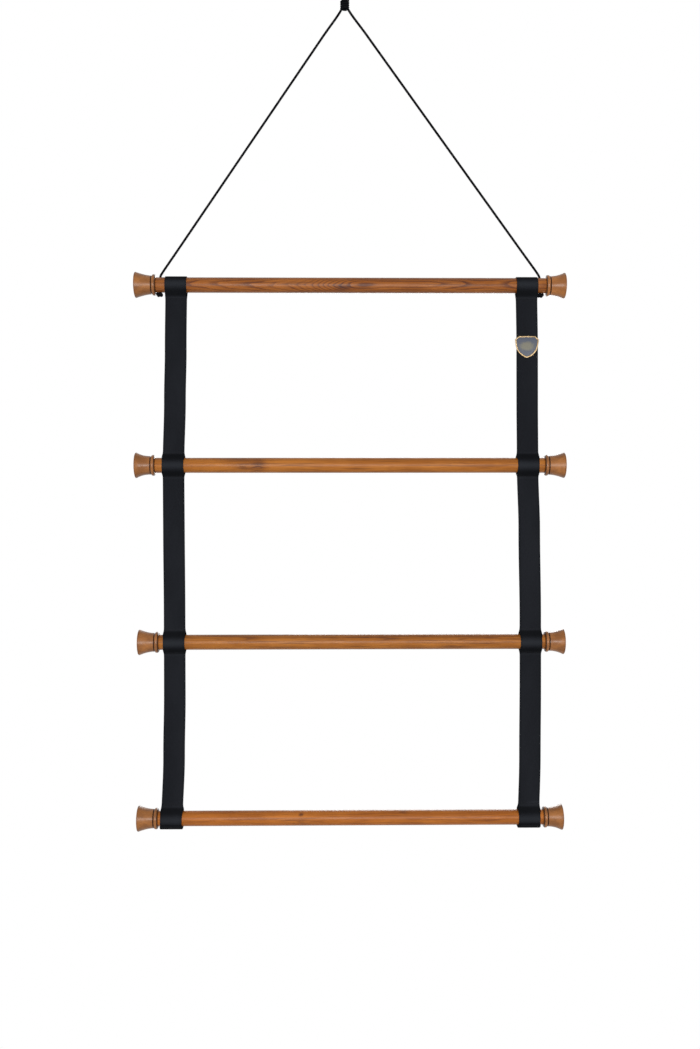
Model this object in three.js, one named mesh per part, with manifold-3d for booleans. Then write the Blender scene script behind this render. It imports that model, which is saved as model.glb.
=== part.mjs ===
// Hanging rack ladder: four turned wooden rungs carried by two double-layer webbing straps and hung
// on one cord, whose ends are knotted under the top rung. Millimetres, +Z up, front faces -Y.
// The origin is the top of the hanging loop, where a hook bears on the cord.
import * as THREE from 'three';
import { mergeVertices } from 'three/addons/utils/BufferGeometryUtils.js';
import Module from 'manifold-3d';

const wasm = await Module();
wasm.setup();

// General clearances
const restGap = 0.3; // between two pieces that bear on each other
const runGap = 0.3; // between a rung and the sleeve that it turns in

// Rungs: a round dowel with a turned spigot at each end, glued into a finial
const rungRadius = 14;
const rackWidth = 802; // over the finials
const topRungDrop = 562; // hanging point down to the top rung's upper side, where the cord comes out
const topRackPitch = 335; // top rung to the next, with that sleeve's slack taken up
const rackPitch = 330; // every other pitch
const rackShift = 10; // the hanging point lies this far left of the rack's middle
const rungSides = 24;
const spigotRadius = 8;
const spigotLength = 20;

// Finials: a bead at the inner face, a groove, then a flare out to the rim
const finialLength = 38;
const finialSides = 20;
const beadSteps = 4;
const flareSteps = 5;
const faceStep = 1; // each step is how far the turning stands out from the rung
const beadCentre = 4.3; // from the inner face
const beadHalfWidth = 3.7;
const beadFootStep = 2;
const beadStep = 5.5;
const flareStart = 9; // from the inner face, where the groove ends
const flareFootStep = 3.4;
const rimStep = 9.7;
const rimRound = 1.6; // rounded edge between the rim and the end face
const flarePower = 1.8;

// Webbing: each strap is a front and a back layer, sewn into a sleeve round every rung
const webWidth = 40;
const webThickness = 1.8;
const strapOffsets = [327, 330, 332, 334]; // strap centre from the rack's middle, rung by rung
const seamBand = 4; // height of the sewn band where two layers meet
const seamAboveRung = 7.5; // rung top up to the seam on the middle rungs
const seamBelowRung = 4; // rung underside down to the seam on the middle rungs
const seamUnderTopRung = 10;
const seamOverBottomRung = 10.3;
const lapHalfAngle = THREE.MathUtils.degToRad(62); // the strap's end, lapped under the bottom rung
const arcSteps = 11;
const ringSides = 32;

// Cord: one length over the hook, both ends down through the top rung's necks into stopper knots
const cordRadius = 2;
const cordSides = 8;
const stepsPerPoint = 2;
const cordHoleOffset = 353.5; // from the rack's middle
const cordHoleRadius = 2.6;
const knotRadius = 6;
const knotHeight = 8;
const loopKnotDrop = 56; // hanging point down to the loop knot's centre
const loopKnotRadius = 9;
const loopKnotHeight = 22;

// Badge: a shield-shaped plate with an enamel inlay, screwed through the right strap from behind
const badgeDrop = 115.5; // top rung's axis down to the badge's centre
const badgeWidth = 45.6;
const badgeHeight = 42.8;
const badgeThickness = 3;
const badgeRim = 2.8;
const inlayThickness = 0.8;
const inlayDepth = 1.2;
const screwRadius = 1.5;
const screwSpacing = 17;
const screwBite = 1.1; // how far a screw reaches into the plate
const screwHeadRadius = 3.4;
const screwHeadHeight = 1.3;
const washerRadius = 4.6;
const washerThickness = 0.7;
const screwSides = 12;

// Fits worked out from the values above
const sleeveInner = rungRadius + runGap;
const sleeveOuter = sleeveInner + webThickness;
const pairHalf = restGap / 2 + webThickness; // half the thickness of two layers and their gap
const dowelHalf = rackWidth / 2 - finialLength - restGap;
const socketRadius = spigotRadius + restGap;
const socketDepth = spigotLength + restGap;
const firstAxis = topRungDrop + rungRadius;
const secondAxis = firstAxis + topRackPitch;
const rungDrops = [firstAxis, secondAxis, secondAxis + rackPitch, secondAxis + 2 * rackPitch];
const finialFaceRadius = rungRadius + faceStep;
const beadFootRadius = rungRadius + beadFootStep;
const beadRadius = rungRadius + beadStep;
const flareFootRadius = rungRadius + flareFootStep;
const rimRadius = rungRadius + rimStep;
const sleeveUpperSeams = [0, seamAboveRung, seamAboveRung, seamOverBottomRung].map((seam) => rungRadius + seam);
const topLowerSeam = rungRadius + seamUnderTopRung;
const lowerSeam = rungRadius + seamBelowRung;

const paint = (colour, roughness, metalness = 0) => new THREE.MeshStandardMaterial({ color: colour, roughness, metalness });
const rungWood = () => paint(0xa05a28, 0.45);
const finialWood = () => paint(0xa0714a, 0.5);
const webbing = () => paint(0x1f2023, 0.85);
const cordBraid = () => paint(0x0c0c0e, 0.8);

const rack = new THREE.Group();
const stage = new THREE.Group(); // the rack's own axes: x = 0 at its middle, z = 0 at the hanging point
stage.position.x = rackShift;
rack.add(stage);

function addMesh(parent, name, geometry, material, position = [0, 0, 0]) {
  const mesh = new THREE.Mesh(geometry, material);
  mesh.name = name;
  mesh.position.set(...position);
  parent.add(mesh);
  return mesh;
}

// Solids for cutting and joining
function toSolid(geometry) {
  const bare = geometry.clone();
  bare.deleteAttribute('normal');
  bare.deleteAttribute('uv');
  const merged = mergeVertices(bare, 1e-4);
  const vertProperties = new Float32Array(merged.attributes.position.array);
  const triVerts = new Uint32Array(merged.index.array);
  return new wasm.Manifold(new wasm.Mesh({ numProp: 3, vertProperties, triVerts }));
}

function toGeometry(solid) {
  const mesh = solid.getMesh();
  const geometry = new THREE.BufferGeometry();
  geometry.setAttribute('position', new THREE.BufferAttribute(new Float32Array(mesh.vertProperties), 3));
  geometry.setIndex(new THREE.BufferAttribute(new Uint32Array(mesh.triVerts), 1));
  geometry.computeVertexNormals();
  return geometry;
}

function cut(geometry, tools) {
  const left = tools.reduce((solid, tool) => solid.subtract(toSolid(tool)), toSolid(geometry));
  return toGeometry(left);
}

// A turned piece: profile points are [radius, place along +X]
function turned(profile, sides) {
  const geometry = new THREE.LatheGeometry(profile.map(([r, x]) => new THREE.Vector2(r, x)), sides);
  return geometry.rotateZ(-Math.PI / 2);
}

// A section drawn in (y, z) and run across the strap, in +X
function across(shape, width) {
  const geometry = new THREE.ExtrudeGeometry(shape, { depth: width, bevelEnabled: false, curveSegments: arcSteps });
  geometry.translate(0, 0, -width / 2);
  const yAxis = new THREE.Vector3(0, 1, 0);
  const zAxis = new THREE.Vector3(0, 0, 1);
  const xAxis = new THREE.Vector3(1, 0, 0);
  return geometry.applyMatrix4(new THREE.Matrix4().makeBasis(yAxis, zAxis, xAxis));
}

function rod(radius, length, sides) {
  return new THREE.CylinderGeometry(radius, radius, length, sides);
}

// Rungs and finials
function dowel() {
  const shoulder = dowelHalf;
  const end = shoulder + spigotLength;
  return turned([
    [0, -end], [spigotRadius, -end], [spigotRadius, -shoulder], [rungRadius, -shoulder],
    [rungRadius, shoulder], [spigotRadius, shoulder], [spigotRadius, end], [0, end],
  ], rungSides);
}

function topDowel() {
  const holes = [-cordHoleOffset, cordHoleOffset].map((x) => {
    return rod(cordHoleRadius, rungRadius * 3, screwSides).rotateX(Math.PI / 2).translate(x, 0, 0);
  });
  return cut(dowel(), holes);
}

function finialProfile() {
  const profile = [[0, socketDepth], [socketRadius, socketDepth], [socketRadius, 0], [finialFaceRadius, 0]];
  for (let k = 0; k <= beadSteps; k += 1) {
    const angle = (Math.PI * k) / beadSteps;
    const radius = beadFootRadius + (beadRadius - beadFootRadius) * Math.sin(angle);
    profile.push([radius, beadCentre - beadHalfWidth * Math.cos(angle)]);
  }
  const rimStart = finialLength - rimRound;
  for (let k = 0; k <= flareSteps; k += 1) {
    const along = k / flareSteps;
    const radius = flareFootRadius + (rimRadius - flareFootRadius) * along ** flarePower;
    profile.push([radius, flareStart + (rimStart - flareStart) * along]);
  }
  profile.push([rimRadius - rimRound * 0.3, finialLength - rimRound * 0.3]);
  profile.push([rimRadius - rimRound, finialLength], [0, finialLength]);
  return profile;
}

function addRung(index) {
  const number = index + 1;
  const group = new THREE.Group();
  group.position.z = -rungDrops[index];
  stage.add(group);
  addMesh(group, `rung_${number}`, index === 0 ? topDowel() : dowel(), rungWood());
  const face = rackWidth / 2 - finialLength;
  const right = turned(finialProfile(), finialSides);
  const left = right.clone().rotateZ(Math.PI);
  addMesh(group, `finial_${number}_right`, right, finialWood(), [face, 0, 0]);
  addMesh(group, `finial_${number}_left`, left, finialWood(), [-face, 0, 0]);
}

// Sleeve section: a ring round the rung with its two layers drawn together at a seam above it
function sleeveShape(seam) {
  const lean = Math.acos(sleeveInner / seam);
  const kneeHeight = (sleeveOuter - pairHalf * Math.sin(lean)) / Math.cos(lean);
  const tip = seam + seamBand;
  const start = Math.PI / 2 + lean;
  const shape = new THREE.Shape();
  shape.moveTo(-pairHalf, tip);
  shape.lineTo(-pairHalf, kneeHeight);
  shape.absarc(0, 0, sleeveOuter, start, Math.PI - start, false);
  shape.lineTo(pairHalf, kneeHeight);
  shape.lineTo(pairHalf, tip);
  const hollow = new THREE.Path();
  hollow.moveTo(0, seam);
  hollow.lineTo(sleeveInner * Math.cos(start), sleeveInner * Math.sin(start));
  hollow.absarc(0, 0, sleeveInner, start, Math.PI - start, false);
  shape.holes.push(hollow);
  return shape;
}

function addSleeve(side, sign, index) {
  const isTop = index === 0;
  const geometry = across(sleeveShape(isTop ? topLowerSeam : sleeveUpperSeams[index]), webWidth);
  if (isTop) geometry.rotateX(Math.PI);
  const place = [sign * strapOffsets[index], 0, -rungDrops[index]];
  addMesh(stage, `sleeve_${index + 1}_${side}`, geometry, webbing(), place);
}

// One layer's flare from a seam up to the sleeve that it hangs from, drawn for the back layer
function flaredShape(length) {
  const lean = Math.acos(sleeveInner / lowerSeam);
  const sine = Math.sin(lean);
  const cosine = Math.cos(lean);
  const innerY = restGap / 2;
  const shape = new THREE.Shape();
  shape.moveTo(sleeveInner * sine, -sleeveInner * cosine);
  shape.lineTo(innerY, -(sleeveInner - innerY * sine) / cosine);
  shape.lineTo(innerY, -length);
  shape.lineTo(pairHalf, -length);
  shape.lineTo(pairHalf, -(sleeveOuter - pairHalf * sine) / cosine);
  shape.lineTo(sleeveOuter * sine, -sleeveOuter * cosine);
  return shape;
}

function plainShape(start, length) {
  const shape = new THREE.Shape();
  shape.moveTo(restGap / 2, -start);
  shape.lineTo(restGap / 2, -length);
  shape.lineTo(pairHalf, -length);
  shape.lineTo(pairHalf, -start);
  return shape;
}

// The layer of one span, from the sleeve above it to the sleeve below, in the upper rung's axes
function layerGeometry(index, isFront) {
  const drop = rungDrops[index + 1] - rungDrops[index];
  const length = drop - sleeveUpperSeams[index + 1] - seamBand - restGap;
  const topTip = topLowerSeam + seamBand + restGap;
  let geometry = across(index === 0 ? plainShape(topTip, length) : flaredShape(length), webWidth);
  if (index > 0) {
    const ring = rod(sleeveOuter + restGap, webWidth * 2, ringSides).rotateZ(Math.PI / 2);
    geometry = cut(geometry, [ring]);
  }
  if (isFront) geometry.rotateZ(Math.PI);
  return geometry;
}

// Slides a span sideways with depth, so that it meets the next rung's sleeve
function splay(geometry, sign, index) {
  const drop = rungDrops[index + 1] - rungDrops[index];
  const slope = (-sign * (strapOffsets[index + 1] - strapOffsets[index])) / drop;
  const shear = new THREE.Matrix4().set(1, 0, slope, 0, 0, 1, 0, 0, 0, 0, 1, 0, 0, 0, 0, 1);
  return geometry.applyMatrix4(shear);
}

function addSpan(side, sign, index) {
  for (const face of ['front', 'back']) {
    let geometry = splay(layerGeometry(index, face === 'front'), sign, index);
    if (side === 'right' && index === 0) geometry = cut(geometry, screwHoles());
    const place = [sign * strapOffsets[index], 0, -rungDrops[index]];
    addMesh(stage, `web_${index + 1}_${side}_${face}`, geometry, webbing(), place);
  }
}

// The strap's end, lapped round the underside of the bottom sleeve and sewn there
function addLap(side, sign) {
  const inner = sleeveOuter + restGap;
  const shape = new THREE.Shape();
  const from = -Math.PI / 2 - lapHalfAngle;
  const to = -Math.PI / 2 + lapHalfAngle;
  shape.absarc(0, 0, inner + webThickness, from, to, false);
  shape.absarc(0, 0, inner, to, from, true);
  const place = [sign * strapOffsets[3], 0, -rungDrops[3]];
  addMesh(stage, `lap_${side}`, across(shape, webWidth), webbing(), place);
}

// Badge
const badgeX = strapOffsets[0] + ((strapOffsets[1] - strapOffsets[0]) * badgeDrop) / topRackPitch;
const screwDrops = [-screwSpacing / 2, screwSpacing / 2].map((offset) => offset + badgeDrop);

function screwHoles() {
  const x = badgeX - strapOffsets[0];
  return screwDrops.map((drop) => rod(screwRadius + restGap, webThickness * 10, screwSides).translate(x, 0, -drop));
}

// Shield outline in (x, z), drawn inset from the plate's edge
function shieldShape(inset) {
  const half = badgeWidth / 2 - inset;
  const top = badgeHeight / 2 - inset;
  const shoulder = half * 0.68;
  const earDrop = badgeHeight * 0.19;
  const shape = new THREE.Shape();
  shape.moveTo(-shoulder, top);
  shape.lineTo(-half, top - earDrop);
  shape.quadraticCurveTo(-half * 0.98, -top * 0.35, 0, -top);
  shape.quadraticCurveTo(half * 0.98, -top * 0.35, half, top - earDrop);
  shape.lineTo(shoulder, top);
  return shape;
}

// A shield of the given thickness whose back lies in the plane y = 0
function shieldSlab(inset, thickness) {
  const settings = { depth: thickness, bevelEnabled: false, curveSegments: 5 };
  return new THREE.ExtrudeGeometry(shieldShape(inset), settings).rotateX(Math.PI / 2);
}

function badgeScrew() {
  const headBase = pairHalf + restGap + washerThickness + restGap;
  const tip = -pairHalf - restGap - screwBite;
  const head = headBase + screwHeadHeight;
  const profile = [
    [0, tip], [screwRadius, tip], [screwRadius, headBase], [screwHeadRadius, headBase],
    [screwHeadRadius, headBase + screwHeadHeight * 0.5], [screwHeadRadius * 0.6, head], [0, head],
  ];
  return turned(profile, screwSides).rotateZ(Math.PI / 2);
}

function badgeWasher() {
  const low = pairHalf + restGap;
  const high = low + washerThickness;
  const bore = screwRadius + restGap;
  const profile = [[bore, low], [washerRadius, low], [washerRadius, high], [bore, high], [bore, low]];
  return turned(profile, screwSides).rotateZ(Math.PI / 2);
}

function addBadge() {
  const group = new THREE.Group();
  group.position.set(badgeX, 0, -rungDrops[0] - badgeDrop);
  stage.add(group);
  const backPlane = -pairHalf - restGap;
  const frontPlane = backPlane - badgeThickness;
  const recess = shieldSlab(badgeRim, inlayDepth * 2).translate(0, frontPlane + inlayDepth, 0);
  const offsets = screwDrops.map((drop) => badgeDrop - drop);
  const bores = offsets.map((z) => {
    const bore = rod(screwRadius + restGap, (screwBite + restGap) * 2, screwSides);
    return bore.translate(0, backPlane, z);
  });
  const plate = cut(shieldSlab(0, badgeThickness).translate(0, backPlane, 0), [recess, ...bores]);
  const inlayBack = frontPlane + inlayDepth - restGap;
  const inlay = shieldSlab(badgeRim + restGap, inlayThickness).translate(0, inlayBack, 0);
  addMesh(group, 'badge_plate', plate, paint(0xb08d3c, 0.35, 1));
  addMesh(group, 'badge_inlay', inlay, paint(0x5c6f84, 0.3));
  ['lower', 'upper'].forEach((place, k) => {
    const z = (k === 0 ? -1 : 1) * (screwSpacing / 2);
    addMesh(group, `badge_screw_${place}`, badgeScrew(), paint(0x8a8a8a, 0.4, 1), [0, 0, z]);
    addMesh(group, `badge_washer_${place}`, badgeWasher(), paint(0x8a8a8a, 0.4, 1), [0, 0, z]);
  });
}

// Cord route, [x, z] from the hanging point: legs from the rung's underside up to the loop knot
const leftLeg = [
  [-343.5, -590], [-343.5, -583], [-343.5, -576], [-343.5, -569], [-343.3, -563], [-342.2, -558.5],
  [-339.6, -554], [-310, -510.6], [-260, -437.2], [-200, -349.2], [-140, -261.2], [-80, -173.2], [-40, -114.5],
  [-6, -64.8],
];
const rightLeg = [
  [363.5, -590], [363.5, -583], [363.5, -576], [363.5, -569], [363.3, -563], [362.2, -558.5],
  [359.6, -554], [330, -513], [270, -429.9], [200, -333], [140, -249.9], [80, -166.8], [40, -111.4],
  [6.2, -64.6],
];
const loop = [
  [-3, -44.9], [-4, -38], [-7, -28], [-9.6, -18], [-10, -8], [-7.07, -0.93], [0, 2],
  [7.07, -0.93], [10, -8], [9.6, -18], [7, -28], [4, -38], [3, -44.9],
];

// A smooth curve that a sweep samples evenly between its points, so that every bend keeps its sections
class CordPath extends THREE.CatmullRomCurve3 {
  getUtoTmapping(u) {
    return u;
  }
}

function cordTube(route) {
  const path = new CordPath(route.map(([x, z]) => new THREE.Vector3(x, 0, z)), false, 'centripetal');
  const steps = (route.length - 1) * stepsPerPoint;
  const section = new THREE.Shape();
  for (let k = 0; k < cordSides; k += 1) {
    const angle = (2 * Math.PI * k) / cordSides;
    const point = [cordRadius * Math.cos(angle), cordRadius * Math.sin(angle)];
    if (k === 0) section.moveTo(...point);
    else section.lineTo(...point);
  }
  return new THREE.ExtrudeGeometry(section, { steps, extrudePath: path, bevelEnabled: false });
}

function ball(radius, height) {
  return new THREE.SphereGeometry(1, 12, 8).scale(radius, radius, height / 2);
}

function addCord() {
  addMesh(rack, 'cord_left', cordTube(leftLeg), cordBraid());
  addMesh(rack, 'cord_right', cordTube(rightLeg), cordBraid());
  addMesh(rack, 'cord_loop', cordTube(loop), cordBraid());
  const stopper = ball(knotRadius, knotHeight);
  const drop = -rungDrops[0] - rungRadius - restGap - knotHeight / 2;
  addMesh(stage, 'knot_left', stopper, cordBraid(), [-cordHoleOffset, 0, drop]);
  addMesh(stage, 'knot_right', stopper.clone(), cordBraid(), [cordHoleOffset, 0, drop]);
  addMesh(rack, 'loop_knot', ball(loopKnotRadius, loopKnotHeight), cordBraid(), [0, 0, -loopKnotDrop]);
}

for (let index = 0; index < 4; index += 1) addRung(index);
for (const [side, sign] of [['left', -1], ['right', 1]]) {
  for (let index = 0; index < 4; index += 1) addSleeve(side, sign, index);
  for (let index = 0; index < 3; index += 1) addSpan(side, sign, index);
  addLap(side, sign);
}
addBadge();
addCord();

export default rack;
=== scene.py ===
import math

import bmesh
import bpy
from mathutils import Matrix, Vector
from mathutils.bvhtree import BVHTree


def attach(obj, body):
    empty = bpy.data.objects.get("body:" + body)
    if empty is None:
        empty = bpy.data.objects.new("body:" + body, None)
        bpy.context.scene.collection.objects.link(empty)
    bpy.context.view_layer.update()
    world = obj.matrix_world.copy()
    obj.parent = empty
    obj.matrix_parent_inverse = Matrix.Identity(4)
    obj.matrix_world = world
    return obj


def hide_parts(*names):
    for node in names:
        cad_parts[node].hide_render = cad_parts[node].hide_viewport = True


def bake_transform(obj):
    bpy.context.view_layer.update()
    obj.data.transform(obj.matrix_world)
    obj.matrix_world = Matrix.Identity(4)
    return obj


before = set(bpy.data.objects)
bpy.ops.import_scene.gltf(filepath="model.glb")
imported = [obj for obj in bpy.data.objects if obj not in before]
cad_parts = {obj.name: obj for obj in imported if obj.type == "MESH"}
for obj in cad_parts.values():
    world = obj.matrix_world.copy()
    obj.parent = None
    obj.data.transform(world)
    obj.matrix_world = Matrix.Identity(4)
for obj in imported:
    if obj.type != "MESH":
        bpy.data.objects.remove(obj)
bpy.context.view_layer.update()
print("frame loaded,", len(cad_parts), "nodes")

rack = {  # shared places, in metres; x runs along the rungs, the front faces -Y
    "middle": 0.01,  # the hook bears a little left of the rack's middle
    "axes": [-0.576, -0.911, -1.241, -1.571],  # the four rungs, top to bottom
    "rungRadius": 0.014,
    "holeOut": 0.3535,  # rack's middle to a cord hole
}
sides = {"left": -1, "right": 1}


class Signal:  # one socket that Python arithmetic can work on
    def __init__(self, finish, socket):
        self.finish = finish
        self.socket = socket

    def math(self, operation, *values):
        return self.finish.node("ShaderNodeMath", {"operation": operation}, values)

    def __add__(self, other):
        return self.math("ADD", self, other)

    def __sub__(self, other):
        return self.math("SUBTRACT", self, other)

    def __rsub__(self, other):
        return self.math("SUBTRACT", other, self)

    def __mul__(self, other):
        return self.math("MULTIPLY", self, other)

    def __truediv__(self, other):
        return self.math("DIVIDE", self, other)

    __radd__ = __add__
    __rmul__ = __mul__

    def sine(self):
        return self.math("SINE", self)

    def root(self):
        return self.math("SQRT", self)

    def exponent(self):
        return self.math("EXPONENT", self)

    def fraction(self):
        return self.math("FRACT", self)

    def size(self):
        return self.math("ABSOLUTE", self)

    def largest(self, other):
        return self.math("MAXIMUM", self, other)

    def ease(self, low, high, fromValue=0.0, toValue=1.0):  # smooth step from low to high
        settings = {"interpolation_type": "SMOOTHSTEP"}
        return self.finish.node("ShaderNodeMapRange", settings, [self, low, high, fromValue, toValue])

    def band(self, rise, top, fall, end):  # 1 between top and fall, eased to 0 at both sides
        return self.ease(rise, top) * (1 - self.ease(fall, end))

    def tint(self, *colours):  # from the first colour, where this is 0, to the second, where it is 1
        first, second = [each if isinstance(each, Signal) else shade(*each) for each in colours]
        values = {0: self, 6: first, 7: second}
        return self.finish.node("ShaderNodeMix", {"data_type": "RGBA"}, values, 2)


class Finish:  # the nodes of one material, or of the world
    def __init__(self, name, world=None):
        self.material = world or bpy.data.materials.new(name)
        self.material.use_nodes = True
        self.tree = self.material.node_tree
        self.shader = self.tree.nodes["Background" if world else "Principled BSDF"]

    def node(self, kind, settings=None, sockets=(), out=0):
        made = self.tree.nodes.new(kind)
        for key, value in (settings or {}).items():
            setattr(made, key, value)
        for key, value in sockets.items() if isinstance(sockets, dict) else enumerate(sockets):
            if isinstance(value, Signal):
                self.tree.links.new(value.socket, made.inputs[key])
            else:
                made.inputs[key].default_value = value
        return Signal(self, made.outputs[out])

    def place(self, location=(0, 0, 0)):  # object coordinates, moved
        start = self.node("ShaderNodeTexCoord", out=3)
        return self.node("ShaderNodeMapping", None, {"Vector": start, "Location": location})

    def layer(self, name):  # one of the mesh's own number layers
        return self.node("ShaderNodeAttribute", {"attribute_name": name}, (), 2)

    def parts(self, vector):
        split = self.node("ShaderNodeSeparateXYZ", None, [vector])
        return [Signal(self, socket) for socket in split.socket.node.outputs]

    def stretch(self, vector, scale):
        return self.node("ShaderNodeVectorMath", {"operation": "MULTIPLY"}, [vector, scale])

    def grain(self, vector, scale, detail=3.0, roughness=0.55):  # three scales stretch it
        if isinstance(scale, tuple):
            vector = self.stretch(vector, scale)
            scale = 1.0
        values = {"Vector": vector, "Scale": scale, "Detail": detail, "Roughness": roughness}
        return self.node("ShaderNodeTexNoise", None, values)

    def bump(self, height, strength, distance):
        values = {"Height": height, "Strength": strength, "Distance": distance}
        return self.node("ShaderNodeBump", None, values)

    def finish(self, colour, roughness, normal, **fixed):
        for key, value in (("Base Color", colour), ("Roughness", roughness), ("Normal", normal)):
            if isinstance(value, Signal):
                self.tree.links.new(value.socket, self.shader.inputs[key])
            elif value is not None:
                self.shader.inputs[key].default_value = value
        for key, value in fixed.items():
            self.shader.inputs[key.replace("_", " ")].default_value = value
        return self.material


def shade(red, green, blue):  # a display colour, 0 to 255, as the linear one that shaders take
    def linear(channel):
        part = channel / 255
        return part / 12.92 if part <= 0.04045 else ((part + 0.055) / 1.055) ** 2.4
    return (linear(red), linear(green), linear(blue), 1.0)


def dress(piece, material, body, stands=()):  # no body leaves the piece unattached
    piece.data.materials.clear()
    piece.data.materials.append(material)
    if body:
        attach(piece, body)
    if stands:
        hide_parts(*stands)
    return piece


alongX = (0, math.pi / 2, 0)  # turns a primitive's axis from Z to X
alongY = (math.pi / 2, 0, 0)


def addObject(name, data):
    made = bpy.data.objects.new(name, data)
    bpy.context.scene.collection.objects.link(made)
    return made


def startPiece(name):  # names the primitive just added, and settles its place into its mesh
    piece = bpy.context.object
    piece.name = name
    piece.data.name = name
    bpy.ops.object.transform_apply(location=True, rotation=True, scale=True)
    return piece


def leaveAlone():  # nothing selected, in object mode
    if bpy.context.object and bpy.context.object.mode != "OBJECT":
        bpy.ops.object.mode_set(mode="OBJECT")
    bpy.ops.object.select_all(action="DESELECT")


def rod(name, sides, radius, length, middle, turn=(0, 0, 0)):
    leaveAlone()
    bpy.ops.mesh.primitive_cylinder_add(vertices=sides, radius=radius, depth=length,
                                        location=middle, rotation=turn)
    return startPiece(name)


def pull(x=0, y=0, z=0):  # extrudes what is selected
    bpy.ops.mesh.extrude_region_move(TRANSFORM_OT_translate={"value": (x, y, z)})


def pick(piece, kind, test):  # goes to edit mode and selects the faces or edges that pass
    bpy.ops.object.mode_set(mode="EDIT")
    bpy.ops.mesh.select_mode(type=kind)
    bpy.ops.mesh.select_all(action="DESELECT")
    mesh = bmesh.from_edit_mesh(piece.data)
    for part in mesh.faces if kind == "FACE" else mesh.edges:
        if test(part):
            part.select_set(True)
    bmesh.update_edit_mesh(piece.data)


def cutOut(piece, tool):
    cut = piece.modifiers.new("cut", "BOOLEAN")
    cut.operation = "DIFFERENCE"
    cut.object = tool
    cut.solver = "EXACT"
    bpy.context.view_layer.objects.active = piece
    bpy.ops.object.modifier_apply(modifier=cut.name)
    bpy.data.objects.remove(tool)


def closeUp(piece, angle=35):  # faces out, edges past the angle sharp
    leaveAlone()
    piece.select_set(True)
    bpy.context.view_layer.objects.active = piece
    bpy.ops.object.mode_set(mode="EDIT")
    bpy.ops.mesh.select_all(action="SELECT")
    bpy.ops.mesh.remove_doubles(threshold=1e-6)
    bpy.ops.mesh.normals_make_consistent(inside=False)
    bpy.ops.object.mode_set(mode="OBJECT")
    bpy.ops.object.shade_smooth_by_angle(angle=math.radians(angle))
    piece.select_set(False)


def steps(start, end, count):  # evenly spread values, with both ends
    return [start + (end - start) * k / count for k in range(count + 1)]


def distances(line):  # how far along the line each of its points lies
    made = [0.0]
    for first, second in zip(line, line[1:]):
        made.append(made[-1] + (second - first).length)
    return made


def heading(line, i):
    return (line[min(i + 1, len(line) - 1)] - line[max(i - 1, 0)]).normalized()


def copyPiece(piece, name, shift):  # a copy with its own mesh, moved
    data = piece.data.copy()
    data.name = name
    data.transform(Matrix.Translation(shift))
    return addObject(name, data)


def meshPiece(name, points, faces, spots=()):  # a smooth mesh, faces out, with its UV map's spots
    data = bpy.data.meshes.new(name)
    data.from_pydata(points, [], faces)
    if spots:
        layer = data.uv_layers.new(name="UVMap")
        layer.data.foreach_set("uv", [value for spot in spots for value in spot])
    made = bmesh.new()
    made.from_mesh(data)
    bmesh.ops.recalc_face_normals(made, faces=made.faces)
    made.to_mesh(data)
    made.free()
    data.shade_smooth()
    return addObject(name, data)


def ringFaces(base, count, rings):  # closes rings of points, the first point numbered base
    faces = []
    last = base + (rings - 1) * count
    for first in range(base, last, count):
        for k in range(count):
            n = (k + 1) % count
            faces.append((first + k, first + n, first + count + n, first + count + k))
    return [*faces, tuple(range(base, base + count))[::-1], tuple(range(last, last + count))]


def skin(name, rings, across, along):  # a closed skin over rings of points, its UV map in metres
    spots = []
    for low, high in zip(along, along[1:]):
        for left, right in zip(across, across[1:]):
            spots += [(left, low), (right, low), (right, high), (left, high)]
    spots += [(place, along[0]) for place in across[:-1]][::-1]
    spots += [(place, along[-1]) for place in across[:-1]]
    points = [point for ring in rings for point in ring]
    piece = meshPiece(name, points, ringFaces(0, len(rings[0]), len(rings)), spots)
    piece.data.set_sharp_from_angle(angle=math.radians(50))
    return piece


def addLayer(piece, name, values):  # numbers on the mesh's points, for its finish to read
    layer = piece.data.attributes.new(name, "FLOAT", "POINT")
    layer.data.foreach_set("value", values)


def evenLine(points, step):  # the same line with its points a step apart
    lengths = distances(points)
    count = max(2, round(lengths[-1] / step))
    made = []
    k = 0
    for goal in steps(0, lengths[-1], count):
        while k < len(points) - 2 and lengths[k + 1] < goal:
            k += 1
        part = (goal - lengths[k]) / max(lengths[k + 1] - lengths[k], 1e-9)
        made.append(points[k].lerp(points[k + 1], part))
    return made


def smoothLine(points, step):  # a smooth line through given points
    ends = [points[0] * 2 - points[1], *points, points[-1] * 2 - points[-2]]
    fine = []
    for a, b, c, d in zip(ends, ends[1:], ends[2:], ends[3:]):
        t1 = (b - a).length ** 0.5
        t2 = t1 + (c - b).length ** 0.5
        t3 = t2 + (d - c).length ** 0.5
        for t in steps(t1, t2, 12)[:-1]:
            ab = a.lerp(b, t / t1)
            bc = b.lerp(c, (t - t1) / (t2 - t1))
            cd = c.lerp(d, (t - t2) / (t3 - t2))
            first = ab.lerp(bc, t / t2)
            second = bc.lerp(cd, (t - t1) / (t3 - t1))
            fine.append(first.lerp(second, (t - t1) / (t2 - t1)))
    return evenLine([*fine, points[-1]], step)


def tube(name, line, radius, facets, taper=0):  # a round cord along a line
    rings = []
    side = Vector((0, 1, 0))
    for i, point in enumerate(line):
        ahead = heading(line, i)
        side = (side - ahead * side.dot(ahead)).normalized()
        up = ahead.cross(side)
        fromEnd = min(i, len(line) - 1 - i)
        size = radius
        if fromEnd < taper:
            size *= math.sin(math.pi / 2 * (fromEnd + 1) / (taper + 1))
        turns = steps(0, 2 * math.pi, facets)[:-1]
        rings.append([point + side * (size * math.cos(a)) + up * (size * math.sin(a)) for a in turns])
    return skin(name, rings, steps(0, 2 * math.pi * radius, facets), distances(line))


shot = {"place": (-0.0177, -2.0, -0.9968), "aside": 0.765, "down": 0.707, "roll": 0.044, "lens": 36.75}


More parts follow.
